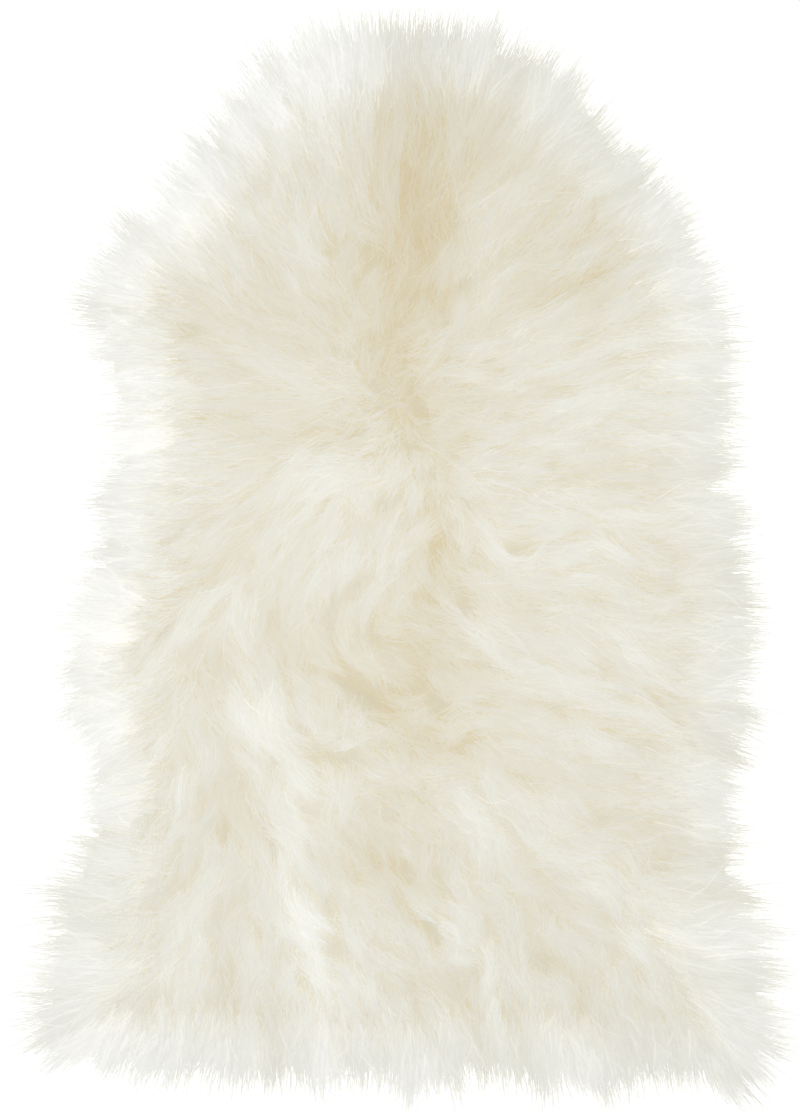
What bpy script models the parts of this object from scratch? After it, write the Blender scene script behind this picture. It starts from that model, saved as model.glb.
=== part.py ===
"""A sheepskin rug: one tanned pelt with its long wool on, lying flat with the wool up.

Units are metres, +Z is up, and +Y runs from the tail to the neck. The pelt is one solid
with a flat skin side on z = 0, a lumpy fleece above it, and tapering locks of wool all
round its rim, which lie out past the skin and rest level on the same plane.
"""

import math
from collections import namedtuple

import bmesh
import bpy
from mathutils import Vector, noise

MM = 0.001

# The skin, cut across from the neck to the tail. Each row crosses the spine line at
# along, and reaches left and right of it. A bow moves the row's two ends along the
# pelt, and crown is the fleece's full height over that row.
Section = namedtuple("Section", "along left right left_bow right_bow crown")
SECTIONS = (
    Section(435, 146, 168, -80, -78, 38),
    Section(384, 175, 198, -69, -67, 45),
    Section(328, 210, 232, -54, -53, 50),
    Section(270, 233, 250, -32, -32, 52),
    Section(213, 243, 260, -8, -8, 54),
    Section(155, 234, 259, 0, 0, 53),
    Section(90, 225, 251, 0, 0, 54),
    Section(35, 233, 260, 0, 0, 55),
    Section(-20, 252, 275, 0, 0, 54),
    Section(-85, 271, 276, 0, 0, 55),
    Section(-140, 255, 273, 0, 0, 56),
    Section(-200, 247, 262, 0, 0, 55),
    Section(-270, 263, 274, 0, 0, 54),
    Section(-345, 277, 296, 4, 0, 52),
    Section(-400, 294, 304, 14, -2, 48),
    Section(-428, 300, 297, 22, -6, 42),
)

# The way the wool lies: a heading in degrees at a place on the pelt, 0 to the right
# and 90 towards the neck.
Comb = namedtuple("Comb", "across along heading")
COMBING = (
    Comb(47, 453, 85),
    Comb(-60, 427, 102),
    Comb(138, 384, 58),
    Comb(-138, 376, 128),
    Comb(0, 350, 82),
    Comb(224, 290, 38),
    Comb(-86, 316, 110),
    Comb(-215, 273, 140),
    Comb(172, 212, 28),
    Comb(-95, 221, 140),
    Comb(-249, 212, 165),
    Comb(189, 118, 8),
    Comb(-189, 109, 188),
    Comb(-86, 23, 235),
    Comb(9, 6, 268),
    Comb(-292, -80, 192),
    Comb(292, -71, -3),
    Comb(17, -114, -12),
    Comb(-146, -140, -65),
    Comb(172, -166, -22),
    Comb(-181, -261, -98),
    Comb(-292, -261, 195),
    Comb(301, -261, -18),
    Comb(69, -278, -45),
    Comb(-258, -407, 215),
    Comb(-110, -400, -85),
    Comb(69, -441, -75),
    Comb(215, -433, -60),
    Comb(323, -390, -22),
)

# Places where the wool parts and shows its depth: a groove of a length and width,
# pointing along turn, as deep as depth.
Parting = namedtuple("Parting", "across along turn length width depth")
PARTINGS = (
    Parting(9, 350, 82, 90, 14, 7),
    Parting(26, 215, 85, 70, 14, 7),
    Parting(-43, 232, 130, 40, 12, 6),
    Parting(0, 110, 20, 80, 14, 9),
    Parting(-142, 122, 20, 40, 12, 5),
    Parting(26, 20, 90, 60, 14, 7),
    Parting(5, -85, 100, 50, 16, 8),
    Parting(-165, -116, 165, 70, 15, 11),
    Parting(-150, -210, 100, 40, 12, 8),
    Parting(-64, -300, 35, 60, 13, 8),
    Parting(110, -250, -50, 60, 12, 6),
    Parting(-248, -412, 30, 50, 14, 9),
)

# A rim lock, from its root on the edge of the skin to its tip: how far out each step
# is, and how wide and high it still is, as shares of its reach and of its root.
Step = namedtuple("Step", "out width height")
LOCK_STEPS = (
    Step(0.32, 0.88, 0.80),
    Step(0.70, 0.64, 0.47),
    Step(1.00, 0.22, 0.14),
)

CELL = 16 * MM  # spacing of the fleece's surface points, and so of the rim locks
RIM_HEIGHT = 23 * MM  # the fleece over the edge of the skin
SHOULDER = 72 * MM  # how far in from the edge the fleece reaches its full height
BOW_POWER = 2.5  # a bowed row stays nearly straight over the spine and turns near its ends

COMB_REACH = 45 * MM  # how softly one combed heading passes into the next
TUFT_WIDTH = 30 * MM
TUFT_RELIEF = 30 * MM
TUFT_STRIDE = 12 * MM
TUFT_STRIDES = 4
SWELL_WIDTH = 110 * MM
SWELL_RELIEF = 7 * MM
RIM_SHARE = 0.35  # how much of that relief is left at the rim
SETTLE = 0.5  # how far each surface point settles to its neighbours' height

LOCK_REACH = 37 * MM
LOCK_DRIFT = 16 * MM  # how far the reach of neighbouring locks drifts along the rim
LOCK_UNEVEN = 22 * MM  # and how far one lock strays from the next
LOCK_SCATTER = math.radians(6)
LOCK_WAVE = math.radians(14)
LOCK_PATCH = 75 * MM
NEXT_LOCK = 9 * MM  # the smooth randomness at this scale differs from lock to lock
OUTWARD = 0.9  # how strongly a rim lock turns out from the edge of the skin

# Each use of the smooth randomness reads its own layer of it.
TUFT_LAYER, SWELL_LAYER = 3.5, 7.5
REACH_LAYER, WAVE_LAYER, UNEVEN_LAYER, SCATTER_LAYER = 1.5, 5.5, 9.5, 11.5

WOOL = (0.86, 0.82, 0.70, 1.0)
SKIN = (0.78, 0.70, 0.56, 1.0)


def between(low, high, share):
    return low + (high - low) * share


def section_at(along):
    """The pelt's measurements on the spine line at along, read smoothly from SECTIONS."""
    last = len(SECTIONS) - 1
    row = next((i for i in range(last) if SECTIONS[i + 1].along <= along), last - 1)
    before, start, end, after = (SECTIONS[min(max(row + i, 0), last)] for i in (-1, 0, 1, 2))
    t = (start.along - along) / (start.along - end.along)
    values = []
    for a, b, c, d in zip(before, start, end, after):
        bend = 2 * a - 5 * b + 4 * c - d + (3 * (b - c) + d - a) * t
        values.append(b + 0.5 * t * (c - a + t * bend))
    return Section(*values)


def combed(place):
    """The unit vector along which the wool lies at a place."""
    lie = Vector((0, 0))
    for row in COMBING:
        away = (place - Vector((row.across, row.along)) * MM).length_squared
        heading = math.radians(row.heading)
        lie += Vector((math.cos(heading), math.sin(heading))) / (away + COMB_REACH**2) ** 2
    return lie.normalized()


def drift(place, patch, layer):
    """A smooth random value from about -1 to 1 that changes over a patch's length."""
    return noise.noise(Vector((place.x, place.y, layer * patch)) / patch)


def tufts(place):
    """The wool's ridges: noise smeared along the way the wool lies."""
    total = 0
    for way in (1, -1):
        at = place.copy()
        for _ in range(TUFT_STRIDES):
            total += drift(at, TUFT_WIDTH, TUFT_LAYER)
            at += combed(at) * TUFT_STRIDE * way
    return total / (2 * TUFT_STRIDES)


def partings(place):
    """How deep the wool is parted at a place."""
    depth = 0
    for row in PARTINGS:
        away = place - Vector((row.across, row.along)) * MM
        turn = math.radians(row.turn)
        ahead = Vector((math.cos(turn), math.sin(turn)))
        down_it = away.dot(ahead) / (row.length * MM)
        across_it = away.cross(ahead) / (row.width * MM)
        depth += row.depth * MM * math.exp(-down_it**2 - across_it**2)
    return depth


def fleece_point(across, down):
    """A point on top of the fleece: across from -1 to 1, down from 0 at the neck to 1."""
    along = between(SECTIONS[0].along, SECTIONS[-1].along, down)
    cut = section_at(along)
    reach = cut.right if across > 0 else cut.left
    bow = cut.right_bow if across > 0 else cut.left_bow
    place = Vector((across * reach, along + bow * abs(across) ** BOW_POWER)) * MM
    to_side = (1 - abs(across)) * reach * MM
    length = (SECTIONS[0].along - SECTIONS[-1].along) * MM
    to_end = min(down, 1 - down) * length
    swell = 1
    for inside in (to_side, to_end):
        swell *= math.sin(min(inside / SHOULDER, 1) * math.pi / 2)
    relief = TUFT_RELIEF * tufts(place)
    relief += SWELL_RELIEF * drift(place, SWELL_WIDTH, SWELL_LAYER)
    height = between(RIM_HEIGHT, cut.crown * MM, swell)
    height += relief * between(RIM_SHARE, 1, swell) - partings(place) * swell
    return Vector((place.x, place.y, height))


def grow_lock(bm, wall):
    """Draws one face of the rim wall out into a tapering lock that lies on z = 0."""
    start = wall.calc_center_median().to_2d()
    outward = wall.normal.to_2d().normalized()
    lie = (combed(start) + outward * OUTWARD).normalized()
    heading = math.atan2(lie.y, lie.x)
    heading += LOCK_SCATTER * drift(start, NEXT_LOCK, SCATTER_LAYER)
    reach = LOCK_REACH + LOCK_DRIFT * drift(start, LOCK_PATCH, REACH_LAYER)
    reach += LOCK_UNEVEN * drift(start, NEXT_LOCK, UNEVEN_LAYER)
    wave = LOCK_WAVE * drift(start, LOCK_PATCH, WAVE_LAYER)
    centre = start
    before = Step(0, 1, 1)
    for step in LOCK_STEPS:
        heading += wave
        ahead = Vector((math.cos(heading), math.sin(heading)))
        next_centre = centre + ahead * reach * (step.out - before.out)
        wall = bmesh.ops.extrude_discrete_faces(bm, faces=[wall])["faces"][0]
        for corner in wall.verts:
            from_centre = corner.co.to_2d() - centre
            placed = next_centre + from_centre * step.width / before.width
            corner.co = (*placed, corner.co.z * step.height / before.height)
        centre = next_centre
        before = step


def make_pelt(collection):
    """The whole pelt: top of the fleece, rim wall, skin side, then the locks."""
    length = (SECTIONS[0].along - SECTIONS[-1].along) * MM
    width = max(row.left + row.right for row in SECTIONS) * MM
    bm = bmesh.new()
    bmesh.ops.create_grid(
        bm, x_segments=round(width / CELL), y_segments=round(length / CELL), size=1
    )
    for vert in bm.verts:
        vert.co = fleece_point(vert.co.x, (1 - vert.co.y) / 2)
    bmesh.ops.smooth_vert(bm, verts=bm.verts, factor=SETTLE, use_axis_z=True)

    rim = [edge for edge in bm.edges if edge.is_boundary]
    walls = bmesh.ops.extrude_edge_only(bm, edges=rim)["geom"]
    for vert in (item for item in walls if isinstance(item, bmesh.types.BMVert)):
        vert.co.z = 0
    underside = bmesh.ops.holes_fill(bm, edges=[e for e in bm.edges if e.is_boundary])
    underside["faces"][0].material_index = 1
    bmesh.ops.recalc_face_normals(bm, faces=bm.faces)

    walls = [item for item in walls if isinstance(item, bmesh.types.BMFace)]
    for wall in sorted(walls, key=lambda face: tuple(face.calc_center_median())):
        grow_lock(bm, wall)

    mesh = bpy.data.meshes.new("sheepskin")
    bm.to_mesh(mesh)
    bm.free()
    mesh.shade_smooth()
    mesh.set_sharp_from_angle(angle=math.radians(60))
    mesh.materials.append(make_material("wool", WOOL, 0.9))
    mesh.materials.append(make_material("skin side", SKIN, 0.8))
    pelt = bpy.data.objects.new("sheepskin", mesh)
    collection.objects.link(pelt)
    return pelt


def make_material(name, colour, roughness):
    material = bpy.data.materials.new(name)
    material.use_nodes = True
    shader = material.node_tree.nodes["Principled BSDF"]
    shader.inputs["Base Color"].default_value = colour
    shader.inputs["Roughness"].default_value = roughness
    shader.inputs["Metallic"].default_value = 0.0
    return material


for thing in list(bpy.data.objects):
    bpy.data.objects.remove(thing)

rug = bpy.data.collections.new("Sheepskin rug")
bpy.context.scene.collection.children.link(rug)
make_pelt(rug)
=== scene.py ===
"""A long-wool sheepskin rug laid flat on a plain white floor and seen from straight above."""

import math

import bpy
import numpy as np
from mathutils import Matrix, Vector
from mathutils.bvhtree import BVHTree


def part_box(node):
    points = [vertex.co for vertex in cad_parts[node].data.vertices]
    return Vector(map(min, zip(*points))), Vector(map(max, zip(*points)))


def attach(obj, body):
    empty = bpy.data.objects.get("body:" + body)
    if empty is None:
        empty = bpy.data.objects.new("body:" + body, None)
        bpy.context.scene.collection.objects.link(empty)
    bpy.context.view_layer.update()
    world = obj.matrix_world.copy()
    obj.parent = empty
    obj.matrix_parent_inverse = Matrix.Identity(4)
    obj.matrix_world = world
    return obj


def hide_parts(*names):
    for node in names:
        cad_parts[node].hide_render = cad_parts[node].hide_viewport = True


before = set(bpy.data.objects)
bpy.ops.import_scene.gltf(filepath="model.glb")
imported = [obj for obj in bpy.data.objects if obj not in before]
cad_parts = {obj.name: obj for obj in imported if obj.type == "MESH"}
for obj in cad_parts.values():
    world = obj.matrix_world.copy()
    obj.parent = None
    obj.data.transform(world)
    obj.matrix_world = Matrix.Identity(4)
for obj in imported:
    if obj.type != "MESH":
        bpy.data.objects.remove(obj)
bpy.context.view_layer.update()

# ---------------------------------------------------------------------------------------
# The skin. One tanned pelt of soft leather about 2 mm thick, lying flat with its suede side
# on the floor. Its edge runs under the fleece's rim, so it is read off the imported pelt:
# out from the middle to the rim line, where the fleece sinks away, and a little way back in.
MM = 0.001
SKIN_THICKNESS = 2 * MM
RIM_LINE_HEIGHT = 19 * MM  # the fleece's height where its rim starts
SKIN_INSET = 9 * MM  # from the rim line in to the skin's edge
OUTLINE_POINTS = 240
FARTHEST = 0.6  # metres from the middle, past every part of the rim
READING = 4 * MM  # between two readings of the fleece's height
READ_BEYOND = 40 * MM  # on each side of the pelt
SOFTEN = 9 * MM  # the readings are blurred over this distance
SUEDE_DARK = (0.62, 0.50, 0.34, 1)
SUEDE_PALE = (0.80, 0.70, 0.54, 1)
CLOUD_SIZE = 60 * MM  # of the suede's paler and darker patches
CLOUD_CONTRAST, CLOUD_SHIFT = 1.6, 0.3  # about an even mix
NAP_SIZE = 1.5 * MM
NAP_CONTRAST = 0.5
NAP_DEPTH = 0.4 * MM
NAP_STRENGTH = 0.5
SUEDE_ROUGHNESS, NAP_ROUGHNESS = 0.8, 0.2

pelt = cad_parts["sheepskin"]
lowest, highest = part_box("sheepskin")
columns = np.arange(lowest.x - READ_BEYOND, highest.x + READ_BEYOND, READING)
rows = np.arange(lowest.y - READ_BEYOND, highest.y + READ_BEYOND, READING)


def read_heights():
    """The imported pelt's height over the floor, read straight down on a grid of places."""
    solid = BVHTree.FromObject(pelt, bpy.context.evaluated_depsgraph_get())
    heights = np.zeros((len(rows), len(columns)))
    for j, y in enumerate(rows):
        for i, x in enumerate(columns):
            hit = solid.ray_cast(Vector((x, y, 1)), Vector((0, 0, -1)))[0]
            if hit is not None:
                heights[j, i] = hit.z
    return heights


def softened(heights, over):
    """The same grid of heights, blurred over a distance."""
    reach = int(3 * over / READING)
    bell = np.exp(-0.5 * (np.arange(-reach, reach + 1) * READING / over) ** 2)
    bell /= bell.sum()
    for axis in (0, 1):
        heights = np.apply_along_axis(np.convolve, axis, heights, bell, mode="same")
    return heights


def read_grid(grid, x, y):
    """A grid's value at places between its points."""
    i = np.clip((x - columns[0]) / READING, 0, len(columns) - 1.001)
    j = np.clip((y - rows[0]) / READING, 0, len(rows) - 1.001)
    left, low = i.astype(int), j.astype(int)
    across, up = i - left, j - low
    near = grid[low, left] * (1 - across) + grid[low, left + 1] * across
    far = grid[low + 1, left] * (1 - across) + grid[low + 1, left + 1] * across
    return near * (1 - up) + far * up


fleece_grid = softened(read_heights(), SOFTEN)
turns = np.linspace(0, 2 * math.pi, OUTLINE_POINTS, endpoint=False)
spokes = np.array([np.cos(turns), np.sin(turns)])
steps = np.arange(0, FARTHEST, 1 * MM)
heights = read_grid(fleece_grid, *(spokes[:, :, None] * steps))
rim_reach = steps[np.argmax(heights < RIM_LINE_HEIGHT, axis=1)]
skin_edge = (spokes * (rim_reach - SKIN_INSET)).T


def mesh_piece(name, points, faces, finish):
    """A new piece that moves with the pelt."""
    mesh = bpy.data.meshes.new(name)
    mesh.from_pydata(points, [], faces)
    mesh.materials.append(finish)
    piece = bpy.data.objects.new(name, mesh)
    bpy.context.scene.collection.objects.link(piece)
    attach(piece, "root")
    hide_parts("sheepskin")
    return piece


class Wire:
    """A socket in a finish's node tree. Arithmetic on wires adds Math nodes."""

    def __init__(self, tree, socket=None):
        self.tree = tree
        self.socket = socket

    def feed(self, node, feeds):
        """Gives each named socket of a node its value or its wire."""
        for name, value in feeds.items():
            if isinstance(value, Wire):
                self.tree.links.new(value.socket, node.inputs[name])
            else:
                node.inputs[name].default_value = value

    def node(self, kind, settings, feeds, out=0):
        """Adds a node: its settings first, then a value or a wire for each socket."""
        made = self.tree.nodes.new(kind)
        for name, value in settings.items():
            if name == "stops":
                ramp = made.color_ramp.elements
                while len(ramp) < len(value):
                    ramp.new(1)
                for stop, (place, colour) in zip(ramp, value):
                    stop.position = place
                    stop.color = (*colour, 1)
            else:
                setattr(made, name, value)
        self.feed(made, feeds)
        return Wire(self.tree, made.outputs[out])

    def maths(self, operation, *values):
        return self.node("ShaderNodeMath", {"operation": operation}, dict(enumerate(values)))

    def __add__(self, other):
        return self.maths("ADD", self, other)

    __radd__ = __add__

    def __sub__(self, other):
        return self.maths("SUBTRACT", self, other)

    def __rsub__(self, other):
        return self.maths("SUBTRACT", other, self)

    def __mul__(self, other):
        return self.maths("MULTIPLY", self, other)

    __rmul__ = __mul__

    def clamped(self):
        return self.node("ShaderNodeClamp", {}, {"Value": self})

    def mixed(self, start, end, amount, way="MIX"):
        """Two colours mixed. They are the Mix node's inputs 6 and 7, and its output 2."""
        settings = {"data_type": "RGBA", "blend_type": way}
        return self.node("ShaderNodeMix", settings, {0: amount, 6: start, 7: end}, out=2)

    def noise(self, size, detail):
        """Noise on the piece's own coordinates whose spots measure about size."""
        places = self.node("ShaderNodeTexCoord", {}, {}, out="Object")
        feeds = {"Vector": places, "Scale": 1 / size, "Detail": detail}
        return self.node("ShaderNodeTexNoise", {}, feeds)

    def bump(self, height, depth, strength):
        feeds = {"Height": height, "Distance": depth, "Strength": strength}
        return self.node("ShaderNodeBump", {}, feeds)


def new_finish(name):
    """An empty finish: its shader's node, and a wire to build on."""
    finish = bpy.data.materials.new(name)
    finish.use_nodes = True
    tree = finish.node_tree
    return finish, tree.nodes["Principled BSDF"], Wire(tree)


def suede():
    """The skin's flesh side: pale tan, mottled, with a short nap."""
    finish, shader, wire = new_finish("suede")
    cloud, nap = wire.noise(CLOUD_SIZE, detail=3), wire.noise(NAP_SIZE, detail=4)
    mottled = cloud * CLOUD_CONTRAST - CLOUD_SHIFT + (nap - 0.5) * NAP_CONTRAST
    surface = {
        "Base Color": wire.mixed(SUEDE_DARK, SUEDE_PALE, mottled.clamped()),
        "Roughness": SUEDE_ROUGHNESS + nap * NAP_ROUGHNESS,
        "Normal": wire.bump(nap, NAP_DEPTH, NAP_STRENGTH),
    }
    wire.feed(shader, surface)
    return finish


def make_skin():
    """A flat sheet: its outline on the floor, the same outline above it, and a wall between."""
    count = OUTLINE_POINTS
    under = np.column_stack([skin_edge, np.zeros(count)])
    over = under + (0, 0, SKIN_THICKNESS)
    ring = np.arange(count)
    after = np.roll(ring, -1)
    walls = np.column_stack([ring, after, after + count, ring + count])
    faces = [ring[::-1].tolist(), (ring + count).tolist(), *walls.tolist()]
    return mesh_piece("skin", np.concatenate([under, over]), faces, suede())


skin = make_skin()

# ---------------------------------------------------------------------------------------
# The undercoat. The dense wool that stands on the skin under the long locks. It is one
# soft body, grown in the long wool's own streams, and shows wherever those locks part.
COMBING = [
    # across, along (mm), heading (degrees, 0 to the right and 90 towards the neck)
    (47, 453, 85),
    (-60, 427, 102),
    (138, 384, 58),
    (-138, 376, 128),
    (0, 350, 82),
    (86, 307, 55),
    (224, 290, 38),
    (-86, 316, 110),
    (-215, 273, 140),
    (172, 212, 28),
    (275, 195, 10),
    (-95, 221, 140),
    (-249, 212, 165),
    (-9, 221, 75),
    (189, 118, 8),
    (69, 118, 5),
    (-60, 101, 200),
    (-189, 109, 188),
    (292, 75, 0),
    (-86, 23, 235),
    (9, 6, 268),
    (163, -3, -5),
    (-232, -3, 205),
    (-292, -80, 192),
    (292, -71, -3),
    (17, -114, -12),
    (-146, -140, -65),
    (-215, -157, -112),
    (172, -166, -22),
    (-60, -218, -32),
    (-181, -261, -98),
    (-292, -261, 195),
    (301, -261, -18),
    (69, -278, -45),
    (189, -321, -42),
    (-69, -364, -82),
    (-163, -390, -85),
    (-258, -407, 215),
    (-318, -424, 190),
    (69, -441, -75),
    (215, -433, -60),
    (323, -390, -22),
]
COMB_REACH = 38 * MM  # over about this distance one row gives way to the next
WHORL_REACH = 55 * MM  # rows that differ within it make a whorl
LOWER_PELT = 100 * MM  # along: below this the wool gets more unruly
SWIRL_FALL = 300 * MM  # the distance over which its swirls grow
SWIRL = 14  # degrees by which small swirls turn the combing
SWIRL_PATCH = 40 * MM
LOWER_SWIRL = 14  # degrees more on the lower pelt
BROAD_SWIRL = 12  # degrees by which broad swirls turn it
BROAD_SWIRL_PATCH = 95 * MM
STREAM_WIDTH = 13 * MM
STREAM_STEPS = 8  # of half a width, each way along the combing

# layers of smooth randomness, by the numbers that they are grown from
GRAIN = 128  # random values across a layer
SWIRL_LAYER = 31
BROAD_SWIRL_LAYER = 32
STREAM_LAYER = 51
FINE_STREAM_LAYER = 52
BORDER_LAYER = 53

# the wool's own warmer and whiter patches, with painted shade: the darker warm patches over the
# neck and the spine stand in for shade there
TONE_AND_SHADE_PATCHES = [
    # across, along, half width, half length (mm), turn (degrees), tone (- warmer, + whiter)
    (10, 334, 26, 80, 0, -1.7),
    (52, 385, 26, 50, 0, -0.7),
    (140, 330, 50, 60, 0, -0.3),
    (189, 225, 42, 42, 0, -0.45),
    (189, 49, 42, 42, 0, 0.25),
    (189, -166, 36, 36, 0, -0.2),
    (-26, 204, 40, 60, 10, -0.7),
    (34, 230, 34, 50, 0, -0.3),
    (138, 359, 35, 32, 0, -0.35),
    (-140, 15, 85, 35, 0, -0.3),
    (138, -54, 36, 36, 0, -0.4),
    (138, -261, 36, 36, 0, -0.25),
    (-206, -329, 30, 30, 0, -0.25),
    (-129, 178, 50, 50, 0, -0.35),
    (26, 109, 70, 26, 0, -0.8),
    (34, 15, 22, 50, 0, -0.6),
    (26, -71, 30, 52, 0, -0.85),
    (-69, -80, 52, 34, 0, -0.65),
    (-155, -106, 22, 13, 0, -0.9),
    (26, -157, 70, 43, 0, -0.6),
    (138, 255, 36, 30, 0, -0.6),
    (-34, -269, 26, 22, 0, -0.6),
    (34, -261, 43, 52, 20, -0.5),
    (10, -329, 28, 24, 0, 0.15),
    (-138, -200, 17, 26, 0, -0.5),
    (-146, -351, 11, 30, 0, -0.7),
    (-9, -398, 34, 22, 0, 0.1),
    (-241, -381, 60, 50, 0, 0.4),
    (-172, -295, 50, 45, 0, 0.25),
    (275, -381, 45, 45, 0, 0.25),
    (189, -295, 40, 40, 0, 0.15),
    (112, -329, 26, 43, 0, -0.4),
    (215, -243, 26, 22, 0, -0.3),
    (-60, -37, 43, 26, 0, 0.4),
    (-112, -149, 24, 40, 20, 0.7),
    (-77, -252, 17, 52, 0, 0.5),
    (-64, -390, 22, 52, 10, 0.8),
    (-52, 66, 43, 34, 0, 0.3),
    (69, -235, 22, 30, 10, 0.4),
    (120, 15, 43, 17, 0, 0.2),
    (249, 195, 43, 52, 0, 0.2),
    (-52, 436, 43, 26, 0, 0.4),
    (-235, 80, 40, 70, 0, 0.3),
    (-270, -60, 35, 70, 0, 0.4),
    (-200, 330, 50, 80, -35, 0.2),
]
RIM_FLOOR_GLOW = [
    # painted light, the bright floor showing through thin wool: turn about the middle (degrees),
    # how far in from the rim line the wool starts to pale (mm), and how much paler it is at the
    # rim
    (0, 20, 0.22),
    (25, 30, 0.25),
    (50, 45, 0.36),
    (90, 60, 0.34),
    (125, 75, 0.40),
    (160, 85, 0.38),
    (190, 85, 0.38),
    (215, 65, 0.41),
    (240, 45, 0.40),
    (270, 30, 0.30),
    (305, 35, 0.30),
    (335, 20, 0.28),
]
PALEST_PAST = 40 * MM  # the wool is palest from this far past the rim line
PALING = 1.5  # the power that leaves most of the paling to the rim
BODY_TONE = 0.50
PATCH_STRENGTH = 0.24  # of the patches of tone and painted shade listed above
WOOL_TONES = [
    (0.0, (0.66, 0.59, 0.42)),
    (0.25, (0.70, 0.663, 0.55)),
    (0.5, (0.738, 0.728, 0.662)),
    (0.75, (0.82, 0.82, 0.78)),
    (1.0, (0.93, 0.93, 0.92)),
]
# painted shade: the undercoat is darker and warmer where it lies low, in the valleys between the
# locks, and lighter where it is raised
DEEP_SHADE_TINT = (0.93, 0.89, 0.79, 1)
RAISED_LIGHT_TINT = (0.96, 0.945, 0.91, 1)
FIBRE_SIZE = 1.5 * MM
FIBRE_CONTRAST, FIBRE_SHIFT = 0.4, 0.05  # of the tone
FIBRE_DEPTH = 1 * MM
FIBRE_STRENGTH = 0.8
WOOL_SHINE = 0.1

UNDERCOAT_CELL = 3.3 * MM
UNDERCOAT_SHARE = 0.80  # of the fleece's height
STREAM_SHARE = 0.065  # more of it on a stream's ridge
FINE_STREAM_SHARE = 0.012
# painted light: the undercoat is whiter on its streams' raised ridges
STREAM_RIDGE_LIGHT = 0.08  # how much whiter a stream's ridge is
FINE_STREAM_RIDGE_LIGHT = 0.04
OVERHANG = 6 * MM  # from the rim line out to the undercoat's border
BORDER_WANDER = 4 * MM  # by which that border goes in and out
BORDER_PATCH = 9 * MM
BORDER_SLOPE = 30 * MM  # the width over which it slopes down to the floor
# painted light: the undercoat gets whiter towards its border, where the bright floor shows
# through thin wool
BORDER_GLOW_WIDTH = 25 * MM  # the width over which it gets whiter
BORDER_FLOOR_GLOW = 0.25
BORDER_ROUND = 0.5  # the power that rounds that slope
OFF_FLOOR = 0.1 * MM
UPWARD = 1.5  # added to its normals, so that its small slopes stay light
# painted shade and light: the undercoat's share of the raised, lighter tint
LIGHT_ON_UNDERCOAT, LIGHT_BY_STREAM = 0.35, 0.25  # how far from the deep tint to the raised one


def rising(distance, over):
    """From 0 to 1 as a distance grows from nothing to a length, and level past both."""
    return np.clip(distance / over, 0, 1)


def drift(x, y, patch, layer):
    """Smooth randomness from -1 to 1 that changes over a patch's length."""
    grain = np.random.default_rng(layer).uniform(-1, 1, (GRAIN, GRAIN))
    u, v = x / patch + GRAIN / 2, y / patch + GRAIN / 2
    i, j = np.floor(u).astype(int), np.floor(v).astype(int)
    a, b = u - i, v - j
    a, b = a * a * (3 - 2 * a), b * b * (3 - 2 * b)
    i0, i1, j0, j1 = i % GRAIN, (i + 1) % GRAIN, j % GRAIN, (j + 1) % GRAIN
    near = grain[j0, i0] * (1 - a) + grain[j0, i1] * a
    far = grain[j1, i0] * (1 - a) + grain[j1, i1] * a
    return near * (1 - b) + far * b


def pulled(x, y, weigh):
    """The combing's headings added up at places by their weights, and the weights' sum."""
    east, north, total = np.zeros_like(x), np.zeros_like(x), np.zeros_like(x)
    for across, along, heading in COMBING:
        weight = weigh((x - across * MM) ** 2 + (y - along * MM) ** 2)
        east += weight * math.cos(math.radians(heading))
        north += weight * math.sin(math.radians(heading))
        total += weight
    return east, north, total


def combed(x, y):
    """The heading in which the wool lies at places on the pelt, with its own small swirls."""
    east, north, _ = pulled(x, y, lambda away: 1 / (away + COMB_REACH**2) ** 2)
    lower = rising(LOWER_PELT - y, SWIRL_FALL)
    swirl = (SWIRL + LOWER_SWIRL * lower) * drift(x, y, SWIRL_PATCH, SWIRL_LAYER)
    swirl = swirl + BROAD_SWIRL * drift(x, y, BROAD_SWIRL_PATCH, BROAD_SWIRL_LAYER)
    return np.arctan2(north, east) + np.radians(swirl)


def settled(x, y):
    """How much the wool around places lies one way, from 0 in a whorl to 1."""
    east, north, total = pulled(x, y, lambda away: np.exp(-away / (2 * WHORL_REACH**2)))
    return np.hypot(east, north) / total


def streams(x, y, width, layer):
    """Randomness from -1 to 1 drawn out along the combing, as wool gathers in streams."""
    total = drift(x, y, width, layer)
    for way in (1, -1):
        u, v = x.copy(), y.copy()
        for _ in range(STREAM_STEPS):
            heading = combed(u, v)
            u += way * np.cos(heading) * width / 2
            v += way * np.sin(heading) * width / 2
            total = total + drift(u, v, width, layer)
    return np.clip(total / total.std() / 2, -1, 1)


def inside_rim(x, y):
    """How far places are inside the rim line."""
    turn = np.arctan2(y, x) % (2 * math.pi)
    reach = np.interp(turn, np.append(turns, 2 * math.pi), np.append(rim_reach, rim_reach[0]))
    return reach - np.hypot(x, y)


def patched_tone_and_shade(x, y):
    """How much whiter than the rest the wool is at places on the pelt, with painted shade where
    it is darker over the neck and spine.
    """
    tone = np.zeros_like(x)
    for across, along, half_width, half_length, turn, amount in TONE_AND_SHADE_PATCHES:
        cos, sin = math.cos(math.radians(turn)), math.sin(math.radians(turn))
        dx, dy = x / MM - across, y / MM - along
        u, v = (dx * cos + dy * sin) / half_width, (dy * cos - dx * sin) / half_length
        tone += amount * np.exp(-0.5 * (u * u + v * v))
    return tone


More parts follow.
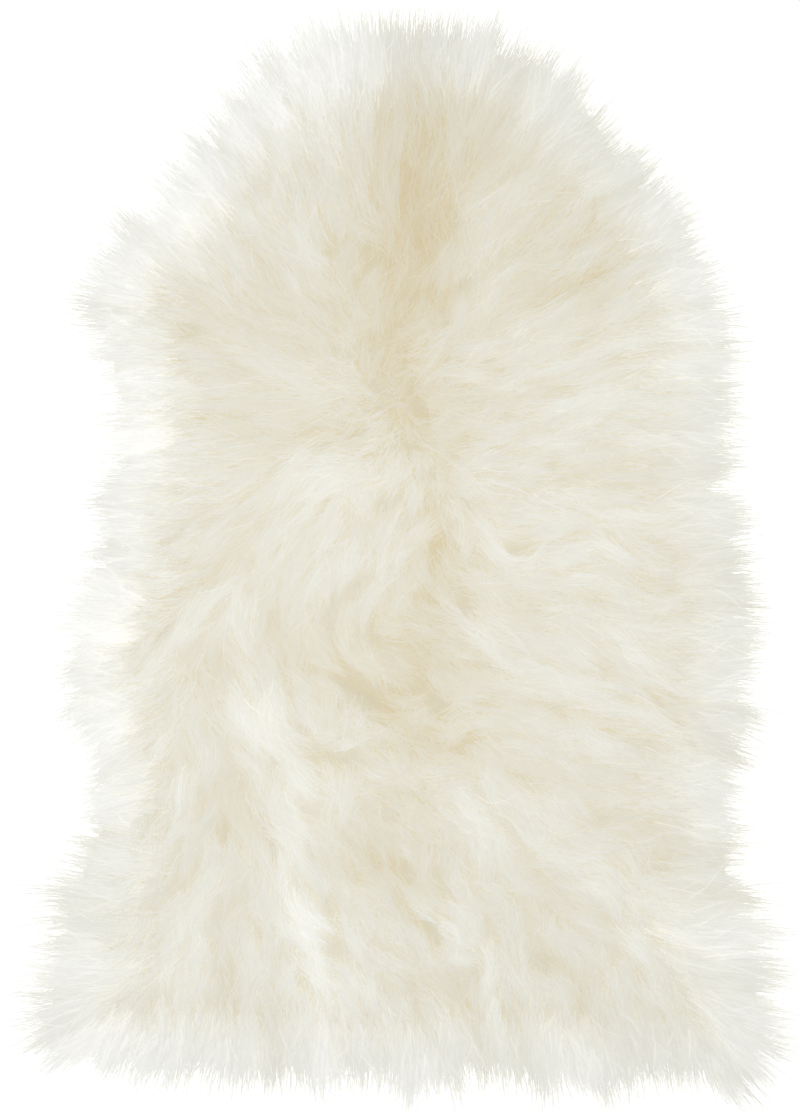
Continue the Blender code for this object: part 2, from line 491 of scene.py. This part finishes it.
def body_tone(x, y):
    """The wool's tone at places on the pelt: 0 warm cream, 1 nearly white, with painted shade
    over the neck and spine and painted light towards the rim.
    """
    turn = np.degrees(np.arctan2(y, x)) % 360
    turned, start, amount = np.transpose(RIM_FLOOR_GLOW)
    start = np.interp(turn, turned, start, period=360) * MM
    amount = np.interp(turn, turned, amount, period=360)
    # painted light: paler towards the rim, where the bright floor shows through the thin wool
    pale = rising(start - inside_rim(x, y), start + PALEST_PAST)
    return BODY_TONE + amount * pale**PALING + PATCH_STRENGTH * patched_tone_and_shade(x, y)


def wool_colour(wire, tone, rise, low_shade_tint, high_tint):
    """Wool's colour from its tone, with painted shade from how far it has risen out of the
    fleece: darker and warmer low down.
    """
    body = wire.node("ShaderNodeValToRGB", {"stops": WOOL_TONES}, {"Fac": tone})
    return wire.mixed(body, wire.mixed(low_shade_tint, high_tint, rise), 1, way="MULTIPLY")


def undercoat_wool():
    """Dense wool, darker and warmer where it lies low in painted shade, with a fine fibrous
    bump.
    """
    finish, shader, wire = new_finish("undercoat wool")
    tone = wire.node("ShaderNodeAttribute", {"attribute_name": "tone"}, {}, out="Fac")
    rise = wire.node("ShaderNodeAttribute", {"attribute_name": "rise"}, {}, out="Fac")
    fibres = wire.noise(FIBRE_SIZE, detail=4)
    uneven = (tone + (fibres - 0.5) * FIBRE_CONTRAST - FIBRE_SHIFT).clamped()
    surface = {
        "Base Color": wool_colour(wire, uneven, rise, DEEP_SHADE_TINT, RAISED_LIGHT_TINT),
        "Roughness": 0.9,
        "Specular IOR Level": WOOL_SHINE,
        "Normal": wire.bump(fibres, FIBRE_DEPTH, FIBRE_STRENGTH),
    }
    wire.feed(shader, surface)
    return finish


def unit(vectors):
    """The same vectors, each made one unit long."""
    return vectors / np.maximum(np.linalg.norm(vectors, axis=-1, keepdims=True), 1e-9)


def corners(grid):
    """A grid's values at the four corners of each of its cells, in turn round the cell."""
    return np.stack([grid[:-1, :-1], grid[:-1, 1:], grid[1:, 1:], grid[1:, :-1]], axis=-1)


def make_undercoat():
    """An uneven sheet over the skin that slopes down to the floor at its border."""
    x, y = np.meshgrid(
        np.arange(lowest.x, highest.x, UNDERCOAT_CELL),
        np.arange(lowest.y, highest.y, UNDERCOAT_CELL),
    )
    wander = BORDER_WANDER * drift(x, y, BORDER_PATCH, BORDER_LAYER)
    inside = inside_rim(x, y) + OVERHANG + wander
    broad = streams(x, y, STREAM_WIDTH, STREAM_LAYER)
    fine = streams(x, y, STREAM_WIDTH / 2, FINE_STREAM_LAYER)
    share = UNDERCOAT_SHARE + STREAM_SHARE * broad + FINE_STREAM_SHARE * fine
    z = read_grid(fleece_grid, x, y) * share
    z = OFF_FLOOR + (z - OFF_FLOOR) * rising(inside, BORDER_SLOPE) ** BORDER_ROUND

    kept = (corners(inside) > 0).all(axis=-1)
    faces = corners(np.arange(x.size).reshape(x.shape))[kept]
    used, faces = np.unique(faces, return_inverse=True)
    points = np.stack([x, y, z], axis=2).reshape(-1, 3)[used]
    piece = mesh_piece("undercoat", points, faces.reshape(-1, 4), undercoat_wool())
    piece.data.shade_smooth()
    own = np.array([vertex.normal for vertex in piece.data.vertices])
    piece.data.normals_split_custom_set_from_vertices(unit(own + (0, 0, UPWARD)))

    # painted light: the undercoat is whiter on its streams' ridges and towards its border, where
    # the bright floor shows through
    border = 1 - rising(inside, BORDER_GLOW_WIDTH)
    tone = body_tone(x, y) + STREAM_RIDGE_LIGHT * broad + FINE_STREAM_RIDGE_LIGHT * fine + BORDER_FLOOR_GLOW * border
    # painted shade: the undercoat is darker in its streams' troughs and lighter on their ridges
    rise = LIGHT_ON_UNDERCOAT + LIGHT_BY_STREAM * broad
    for name, values in (("tone", tone), ("rise", rise)):
        layer = piece.data.attributes.new(name, "FLOAT", "POINT")
        values = np.clip(values, 0, 1).reshape(-1)[used]
        layer.data.foreach_set("value", values.astype(np.float32))
    return piece


undercoat = make_undercoat()

# ---------------------------------------------------------------------------------------
# The long wool. Locks of fine ivory wool stand on the skin and lie over the way they are
# combed: over the neck, out to both sides, down over the tail, and past the skin's edge onto
# the floor. Each lock is made of wisps that draw together, and each wisp of thin strands.
# where locks and wisps stand
LOCK_SPACING = 27 * MM
WISP_SPACING = 10 * MM
RIM_SPACING = 0.7  # the share of that at which the rim's own wisps stand
RIM_BELT = 55  # mm in from the rim line, over which the rim's own wisps thin out
ROW_SPACING = 0.87  # the share of the spacing that is between two rows
SCATTER = 0.38  # the share of the spacing by which a place is moved at most
LEAST_FLEECE = 0.3 * MM  # no tips lie where the fleece is lower
NECK_TOP = 385 * MM  # along: above this the wool reaches past the fleece, left and up,
NECK_TOP_SPAN = 42 * MM  # and does so in full from this far above it
NECK_LEFT = 23 * MM
NECK_UP = 7 * MM

# how far wisps reach: a length, and the shares by which it changes
WAY_STEPS = 16  # from a wisp's root to its tip
REACH = 63 * MM
NECK_START, NECK_SPAN = 340 * MM, 80 * MM
HAUNCH_RIGHT, HAUNCH_RIGHT_SPAN = 230 * MM, 60 * MM
HAUNCH_DOWN, HAUNCH_DOWN_SPAN = 240 * MM, 40 * MM
SPINE, SPINE_HALF_WIDTH, SPINE_TOP = 12 * MM, 45 * MM, 330 * MM
LONGER_AT_NECK = 0.5
LONGER_AT_HAUNCH = 0.35
LONGER_BY_PATCH = 0.15
REACH_PATCH = 70 * MM
REACH_LAYER = 35
LONGER_BY_CHANCE = 0.06
SHORTER_AT_SPINE = 0.3
SHORTER_AT_RIM = 0.3  # at most
WHORL_LENGTH, CALM_LENGTH, LEAST_LENGTH = 0.3, 0.8, 0.35
ROOT_DEPTH = (8, 45)  # mm in from the rim line, for the roots of wisps that end past it
ROOT_INSIDE = 1 * MM  # every root is at least this far in from it
WAY_SLACK = 1.2  # the length of a way over its straight distance
PACE, PACE_GROWS = 0.55, 0.9  # the steps of a way get longer towards its tip

# how locks stray from the combing, in degrees
STRAY = 7
STRAY_AT_SPINE = 20  # more along the tousled spine
STRAY_IN_WHORL = 60  # more in a whorl
SWING = 9  # to and fro along a wisp
SWING_LOWER = 22  # more on the lower pelt
SWING_FALL = 350 * MM  # the distance over which that grows
OWN_SWING = (0.6, 1.3)  # the shares of it that locks take
WAVES = (0.8, 1.3)  # to and fro from root to tip
RIM_BAND = 60 * MM  # in from the rim line, where locks lie straighter and further outward
RIM_STRAIGHTER = 0.6
RIM_TURN = 0.65  # of the turn from the combing to straight out
SLOPE_SOFTEN = 25 * MM  # straight out is where the fleece falls, blurred this far

# the strands of a wisp
STRANDS = 98000
POINTS = 6  # along a strand
FLYAWAYS = 0.025  # the share of strands that stray more
CROWDING_PATCH = 10 * MM  # the cells in which ways are counted
EVENING_OUT = -1.4  # the power that gives crowded wisps fewer strands
RIM_TAPER = 70 * MM  # in from the rim line, where strands change over to the rim's
OUTERMOST = 25 * MM  # in from the rim line, where the tips of the outermost wisps start
OUTERMOST_SPARSER = 0.15
OUTERMOST_LONGER = 0.18
FEW_LONG = 1.5  # the power that keeps most of them shorter than that
SHORTEST, SHORTEST_AT_RIM = 0.45, 0.1  # shares of a wisp's way,
MOSTLY_LONG = 0.7  # and the power that then lengthens every strand
SPREAD = 0.56  # of the wisps' spacing: how a wisp's roots are scattered
DRAWN = (0.5, 1.0)  # the share of that by which a strand's tip closes in again
DRAWN_LESS_AT_RIM = 0.5
DRAWN_LATE = 1.3  # the power that leaves most of it to the tip
TO_LOCK = 0.28  # of the way from a wisp's tip to the middle of its lock
TO_LOCK_LESS_AT_RIM = 0.8
TO_LOCK_LATE = 1.4

# how they turn off the wisp's way and bend, in degrees
WISP_TURN, WISP_TURN_IN_WHORL = 4, 30
STRAND_TURN, STRAND_TURN_AT_RIM, FLYAWAY_TURN = 1.5, 3, 10
BEND, FLYAWAY_BEND = 3, 15
BEND_ABOUT = 0.4  # of a strand's length

# how high they lie, in shares of the fleece's height and in lengths
OVER_UNDERCOAT = 0.02
LIFT = 0.02  # of every wisp
LIFT_BY_CHANCE = 0.03
LIFT_BY_STREAM = 0.02
STRAND_LIFT = 0.006  # up or down, by each strand's own chance
FLYAWAY_LIFT = 0.04
EDGE_SAG = 0.012  # of a strand that is a wisp's spacing from its wisp's middle
HOLD_DOWN = 4.5  # the power with which a strand rises early and then lies along the top
TIP_OFF_FLOOR = 0.3 * MM
ROOT_HIGHER = 1.4 * SKIN_THICKNESS  # than that, so that it is on the skin
PROUD = 15 * MM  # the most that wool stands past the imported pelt

# their shape
STRAND_WIDTH = 0.95 * MM
STRAND_WIDTHS = (0.6, 1.3)  # shares of it
WIDTH_AT_ROOT, WIDER_BETWEEN, NARROWER_AT_TIP = 0.75, 0.25, 0.6  # shares of a strand's own
ROLL = 0.2  # radians at most, about its length
FACING, LEAN, UP = 0.12, 0.35, 0.85  # its normals' shares of its face, its way and straight up

# their colours, in which a higher tone is whiter, with painted light on wisps that lie higher
# and painted shade towards the roots
SHOWN = 12  # the step of a wisp's way at which its tone is read
# painted light: wisps on a stream's raised ridge are whiter
STREAM_LIT_WHITER = 0.07
# painted light: wisps that lie higher are whiter, lower ones darker
LIFTED_LIT_WHITER = 2.5
MEAN_LIFT = 0.033
FLYAWAY_WHITER = 0.15
WISPS_DIFFER = 0.03
STRANDS_DIFFER = 0.035
TONE_LIMITS = (0.01, 0.99)
MAP_HALF_WIDTH = 1 / 1024  # of a strand in its map
# darker and warmer towards the root: partly the wool's own warmer colour near the skin, partly
# painted shade in the gaps between the strands
ROOT_TINT_AND_SHADE = (0.97, 0.93, 0.84, 1)
TIP_TINT = (1, 1, 1, 1)
TINT_GROWS, TINT_LATE = 1.7, 0.2  # from root to tip

BANDS = ["tail_wool", "loin_wool", "back_wool", "shoulder_wool", "neck_wool"]

chance = np.random.default_rng(4)


def sown(spacing, rim_only=False):
    """Places over the fleece about a spacing apart, unevenly, out to its low rim."""
    x, y = np.meshgrid(
        np.arange(columns[0], columns[-1], spacing),
        np.arange(rows[0], rows[-1], spacing * ROW_SPACING),
    )
    x[1::2] += spacing / 2
    x = x + chance.uniform(-SCATTER, SCATTER, x.shape) * spacing
    y = y + chance.uniform(-SCATTER, SCATTER, y.shape) * spacing
    neck = rising(y - NECK_TOP, NECK_TOP_SPAN)
    height = read_grid(fleece_grid, x + NECK_LEFT * neck, y - NECK_UP * neck)
    inside = height > LEAST_FLEECE
    if rim_only:
        inside &= inside_rim(x, y) < chance.uniform(0, RIM_BELT, x.shape) * MM
    return np.column_stack([x[inside], y[inside]])


def nearest(places, others, batch=2000):
    """For each place, the number of the nearest of the others."""
    found = np.empty(len(places), int)
    for start in range(0, len(places), batch):
        part = places[start : start + batch]
        away = ((part[:, None] - others[None]) ** 2).sum(axis=2)
        found[start : start + batch] = away.argmin(axis=1)
    return found


fall_y, fall_x = np.gradient(-softened(fleece_grid, SLOPE_SOFTEN))


def outward(x, y):
    """The heading in which the fleece falls away to its rim."""
    return np.arctan2(read_grid(fall_y, x, y), read_grid(fall_x, x, y))


def trace(tips, lock_of):
    """Each wisp's way from its tip back to its root against the combing, turned root first."""
    x, y = tips[:, 0].copy(), tips[:, 1].copy()
    count = len(tips)
    at_rim = 1 - rising(inside_rim(x, y), RIM_BAND)
    calm = settled(x, y)
    lower = rising(LOWER_PELT - y, SWING_FALL)
    spine = np.exp(-0.5 * ((x - SPINE) / SPINE_HALF_WIDTH) ** 2) * (y < SPINE_TOP)
    own = [chance.normal(0, 1, len(locks)), chance.uniform(*OWN_SWING, len(locks))]
    own += [chance.uniform(*WAVES, len(locks)), chance.uniform(0, 2 * math.pi, len(locks))]
    astray, swing, waves, phase = (each[lock_of] for each in own)
    most = np.radians(STRAY + STRAY_AT_SPINE * spine + STRAY_IN_WHORL * (1 - calm) ** 2)
    astray = most * astray * (1 - RIM_STRAIGHTER * at_rim)
    swing = np.radians(SWING + SWING_LOWER * lower) * swing * (1 - RIM_STRAIGHTER * at_rim)

    neck = rising(y - NECK_START, NECK_SPAN)
    haunch = rising(x - HAUNCH_RIGHT, HAUNCH_RIGHT_SPAN)
    haunch = haunch * rising(-HAUNCH_DOWN - y, HAUNCH_DOWN_SPAN)
    patchy = LONGER_BY_PATCH * drift(x, y, REACH_PATCH, REACH_LAYER)
    reach = REACH * (1 + LONGER_AT_NECK * neck + LONGER_AT_HAUNCH * haunch + patchy)
    reach = reach * (1 + chance.normal(0, LONGER_BY_CHANCE, count))
    reach = reach * (1 - SHORTER_AT_SPINE * spine)
    reach = reach * np.clip(WHORL_LENGTH + CALM_LENGTH * calm, LEAST_LENGTH, 1)
    reach = reach * (1 - at_rim * chance.uniform(0, SHORTER_AT_RIM, count))
    # tips past the rim line still reach back to the skin, to roots at uneven depths
    depth = chance.uniform(*ROOT_DEPTH, count) * MM
    reach = np.maximum(reach, WAY_SLACK * (depth - inside_rim(x, y)))

    way = np.empty((count, WAY_STEPS + 1, 2))
    way[:, -1] = tips
    for k in reversed(range(WAY_STEPS)):
        t = (k + 0.5) / WAY_STEPS
        heading = combed(x, y) + astray + swing * np.sin(2 * math.pi * waves * t + phase)
        off = (outward(x, y) - heading + math.pi) % (2 * math.pi) - math.pi
        heading = heading + RIM_TURN * at_rim * off
        pace = reach / WAY_STEPS * (PACE + PACE_GROWS * t)
        x = x - np.cos(heading) * pace
        y = y - np.sin(heading) * pace
        way[:, k] = np.column_stack([x, y])
    return way


def crowding(places):
    """How many of the places share each one's patch of the pelt."""
    i = ((places[..., 0] - columns[0]) / CROWDING_PATCH).astype(int)
    j = ((places[..., 1] - rows[0]) / CROWDING_PATCH).astype(int)
    counts = np.zeros((j.max() + 1, i.max() + 1))
    np.add.at(counts, (j, i), 1)
    return counts[j, i]


locks = sown(LOCK_SPACING)
tips = np.concatenate([sown(WISP_SPACING), sown(WISP_SPACING * RIM_SPACING, rim_only=True)])
lock_of_wisp = nearest(tips, locks)
ways = trace(tips, lock_of_wisp)
rooted = inside_rim(*ways[:, 0].T) > ROOT_INSIDE
tips, ways, lock_of_wisp = tips[rooted], ways[rooted], lock_of_wisp[rooted]
wisps = ways[:, 0]
calm = settled(*wisps.T)
stream = streams(*ways[:, SHOWN].T, STREAM_WIDTH, STREAM_LAYER)
rim_share = 1 - rising(inside_rim(*wisps.T), RIM_TAPER)
outer = 1 - rising(inside_rim(*tips.T), OUTERMOST)
wisp_lift = LIFT + LIFT_BY_CHANCE * chance.uniform(0, 1, len(wisps)) + LIFT_BY_STREAM * stream
share = (crowding(ways) ** EVENING_OUT).mean(axis=1) * (1 - OUTERMOST_SPARSER * outer)
share /= share.sum()
wisp_of_strand = chance.choice(len(wisps), STRANDS, p=share)
flyaway = chance.uniform(0, 1, STRANDS) < FLYAWAYS


def grow():
    """The strands' middle lines, as an array of strand, point and coordinate."""
    t = np.linspace(0, 1, POINTS)[None, :]
    at_rim = rim_share[wisp_of_strand]

    # each strand follows its wisp's way, some only part of it
    length = chance.uniform(SHORTEST + SHORTEST_AT_RIM * at_rim, 1.0) ** MOSTLY_LONG
    longer = outer[wisp_of_strand] * OUTERMOST_LONGER
    length *= 1 + longer * chance.uniform(0, 1, STRANDS) ** FEW_LONG
    along = t * length[:, None] * WAY_STEPS
    before = np.minimum(along.astype(int), WAY_STEPS - 1)
    rest = (along - before)[..., None]
    own_way = (ways - wisps[:, None])[wisp_of_strand]
    strand = np.arange(STRANDS)[:, None]
    moved = own_way[strand, before] * (1 - rest) + own_way[strand, before + 1] * rest

    # it turns off that way with its wisp, and turns and bends a little more by itself
    most = np.radians(WISP_TURN + WISP_TURN_IN_WHORL * (1 - calm) ** 2)
    wisp_turn = most * chance.normal(0, 1, len(wisps))
    loose = STRAND_TURN + STRAND_TURN_AT_RIM * at_rim + FLYAWAY_TURN * flyaway
    turn = wisp_turn[wisp_of_strand] + np.radians(loose) * chance.normal(0, 1, STRANDS)
    bend = np.radians(chance.normal(0, BEND + FLYAWAY_BEND * flyaway))
    turn = turn[:, None] + bend[:, None] * (t - BEND_ABOUT)
    cos, sin = np.cos(turn), np.sin(turn)
    x, y = moved[..., 0], moved[..., 1]
    moved = np.stack([x * cos - y * sin, x * sin + y * cos], axis=2)

    # the strands of a wisp draw together to its tip, and the wisps of a lock to its middle
    spread = chance.normal(0, SPREAD, (STRANDS, 2)) * WISP_SPACING
    root = wisps[wisp_of_strand] + spread
    to_lock = (locks[lock_of_wisp] - tips)[wisp_of_strand]
    draw = chance.uniform(*DRAWN, STRANDS) * (1 - DRAWN_LESS_AT_RIM * at_rim)
    draw = draw[:, None] * t**DRAWN_LATE
    pull = TO_LOCK * (1 - TO_LOCK_LESS_AT_RIM * at_rim[:, None]) * t**TO_LOCK_LATE
    place = root[:, None] + moved - spread[:, None] * draw[..., None]
    place += to_lock[:, None] * pull[..., None]

    # it rises from the skin and lies just over the undercoat, lower at its wisp's edges
    wisp_layer = UNDERCOAT_SHARE + OVER_UNDERCOAT
    layer = wisp_layer + (STREAM_SHARE * stream + wisp_lift)[wisp_of_strand]
    off_middle = np.linalg.norm(spread, axis=1) / WISP_SPACING
    layer = layer + STRAND_LIFT * chance.uniform(-1, 1, STRANDS)
    layer = layer - EDGE_SAG * off_middle + FLYAWAY_LIFT * flyaway
    rise = 1 - (1 - t) ** HOLD_DOWN
    top = read_grid(fleece_grid, place[..., 0], place[..., 1])
    height = top * rise * layer[:, None] + TIP_OFF_FLOOR + ROOT_HIGHER * (1 - t)
    return np.concatenate([place, height[..., None]], axis=2)


def wool():
    """Ivory wool. The strands' map holds each one's tone across, and root to tip along."""
    finish, shader, wire = new_finish("long wool")
    place = wire.node("ShaderNodeUVMap", {"uv_map": "OFBake"}, {})
    tone = wire.node("ShaderNodeSeparateXYZ", {}, {"Vector": place}, out="X")
    along = wire.node("ShaderNodeSeparateXYZ", {}, {"Vector": place}, out="Y")
    # painted shade, with the wool's own warmer colour: each strand is darker and warmer towards
    # its root
    rise = (along * TINT_GROWS - TINT_LATE).clamped()
    surface = {
        "Base Color": wool_colour(wire, tone, rise, ROOT_TINT_AND_SHADE, TIP_TINT),
        "Roughness": 0.75,
        "Specular IOR Level": WOOL_SHINE,
        "Sheen Weight": 0.2,
        "Sheen Roughness": 0.5,
    }
    wire.feed(shader, surface)
    return finish


def make_wool(name, line, tone, finish):
    """One piece of strands: each a ribbon of pairs of points with a single point at its tip."""
    count = len(line)
    t = np.linspace(0, 1, POINTS)
    ahead = unit(np.gradient(line, axis=1))
    side = unit(np.cross(ahead, (0, 0, 1)))
    face = np.cross(side, ahead)
    roll = chance.uniform(-ROLL, ROLL, count)[:, None, None]
    cos, sin = np.cos(roll), np.sin(roll)
    side, face = side * cos + face * sin, face * cos - side * sin
    width = STRAND_WIDTH * chance.uniform(*STRAND_WIDTHS, count)[:, None, None]
    taper = WIDTH_AT_ROOT + WIDER_BETWEEN * np.sin(math.pi * t) - NARROWER_AT_TIP * t**2
    width = width * taper[None, :, None]
    left, right = line - side * width / 2, line + side * width / 2
    pairs = np.stack([left[:, :-1], right[:, :-1]], axis=2).reshape(count, -1, 3)
    points = np.concatenate([pairs, line[:, -1:]], axis=1)
    soft = unit(face * FACING + ahead * LEAN + np.array((0, 0, UP)))
    normals = np.concatenate([soft[:, :-1].repeat(2, axis=1), soft[:, -1:]], axis=1)

    each = 2 * (POINTS - 1) + 1
    first = 2 * np.arange(POINTS - 2)
    lower_half = np.column_stack([first, first + 1, first + 3])
    upper_half = np.column_stack([first, first + 3, first + 2])
    ribbon = np.concatenate([lower_half, upper_half, [[each - 3, each - 2, each - 1]]])
    faces = (ribbon[None] + (np.arange(count) * each)[:, None, None]).reshape(-1, 3)
    piece = mesh_piece(name, points.reshape(-1, 3), faces, finish)
    mesh = piece.data

    u = np.stack([tone - MAP_HALF_WIDTH, tone + MAP_HALF_WIDTH], axis=1)
    u = u[:, None].repeat(POINTS - 1, axis=1)
    v = np.broadcast_to(t[None, :-1, None], u.shape)
    pair_uv = np.stack([u, v], axis=3).reshape(count, -1, 2)
    tip_uv = np.stack([tone, np.ones(count)], axis=1)[:, None]
    uv = np.concatenate([pair_uv, tip_uv], axis=1).reshape(-1, 2)
    layer = mesh.uv_layers.new(name="OFBake")
    layer.data.foreach_set("uv", uv[faces.reshape(-1)].astype(np.float32).reshape(-1))
    mesh.shade_smooth()
    mesh.normals_split_custom_set_from_vertices(normals.reshape(-1, 3))
    return piece


lines = grow()
# painted light: wisps on the streams' raised ridges, and wisps that lie higher, are made whiter
tone = body_tone(*ways[:, SHOWN].T) + STREAM_LIT_WHITER * stream
tone += LIFTED_LIT_WHITER * (wisp_lift - MEAN_LIFT)
tone += chance.normal(0, WISPS_DIFFER, len(wisps))
tone = tone[wisp_of_strand] + chance.normal(0, STRANDS_DIFFER, STRANDS)
tone += FLYAWAY_WHITER * flyaway
tone = np.clip(tone, *TONE_LIMITS)

low, high = np.array(lowest)[:2] - PROUD, np.array(highest)[:2] + PROUD
kept = ((lines[..., :2] > low) & (lines[..., :2] < high)).all(axis=(1, 2))
lines, tone, wisp_of_strand = lines[kept], tone[kept], wisp_of_strand[kept]

order = np.argsort(wisps[wisp_of_strand][:, 1])
long_wool = wool()
for name, members in zip(BANDS, np.array_split(order, len(BANDS))):
    piece = make_wool(name, lines[members], tone[members], long_wool)

# ---------------------------------------------------------------------------------------
# The studio. A plain white floor, a soft light straight above the rug, an even white
# surround, and a camera looking straight down. The fill beside the light casts no shadows:
# it stands for the light that fine wool lets through to the wool beneath it.
FLOOR_SIZE = 8
FLOOR_WHITE = (0.99, 0.99, 0.99, 1)
LIGHTS = [("softbox", 20, True), ("fill", 54, False)]  # name, power (W), casts shadows
LIGHT_SIZE = 0.2
LIGHT_HEIGHT = 3.05
SURROUND_WHITE = (1, 1, 1, 1)
SURROUND_STRENGTH = 0.27
SENSOR_HEIGHT = 36
CAMERA_HEIGHT = 3.0
FRAME_HEIGHT = 0.958  # what the picture spans from top to bottom,
RIM_LEVEL = 0.02  # at this height over the floor

bpy.ops.mesh.primitive_plane_add(size=FLOOR_SIZE)
floor = bpy.context.object
floor.name = "floor"
paint, floor_shader, wire = new_finish("floor paint")
wire.feed(floor_shader, {"Base Color": FLOOR_WHITE, "Roughness": 0.9, "Specular IOR Level": 0.1})
floor.data.materials.append(paint)

for name, power, shadows in LIGHTS:
    light = bpy.data.lights.new(name, "AREA")
    light.shape = "SQUARE"
    light.size = LIGHT_SIZE
    light.energy = power
    light.use_shadow = shadows
    lamp = bpy.data.objects.new(name, light)
    lamp.location = (0, 0, LIGHT_HEIGHT)
    bpy.context.scene.collection.objects.link(lamp)

world = bpy.data.worlds.new("studio")
world.use_nodes = True
world.node_tree.nodes["Background"].inputs["Color"].default_value = SURROUND_WHITE
world.node_tree.nodes["Background"].inputs["Strength"].default_value = SURROUND_STRENGTH
bpy.context.scene.world = world

lens = bpy.data.cameras.new("camera")
lens.sensor_fit = "VERTICAL"
lens.sensor_height = SENSOR_HEIGHT
lens.lens = SENSOR_HEIGHT * (CAMERA_HEIGHT - RIM_LEVEL) / FRAME_HEIGHT
camera = bpy.data.objects.new("camera", lens)
camera.location = (0, 0, CAMERA_HEIGHT)
bpy.context.scene.collection.objects.link(camera)
bpy.context.scene.camera = camera
bpy.context.scene.view_settings.view_transform = "Standard"
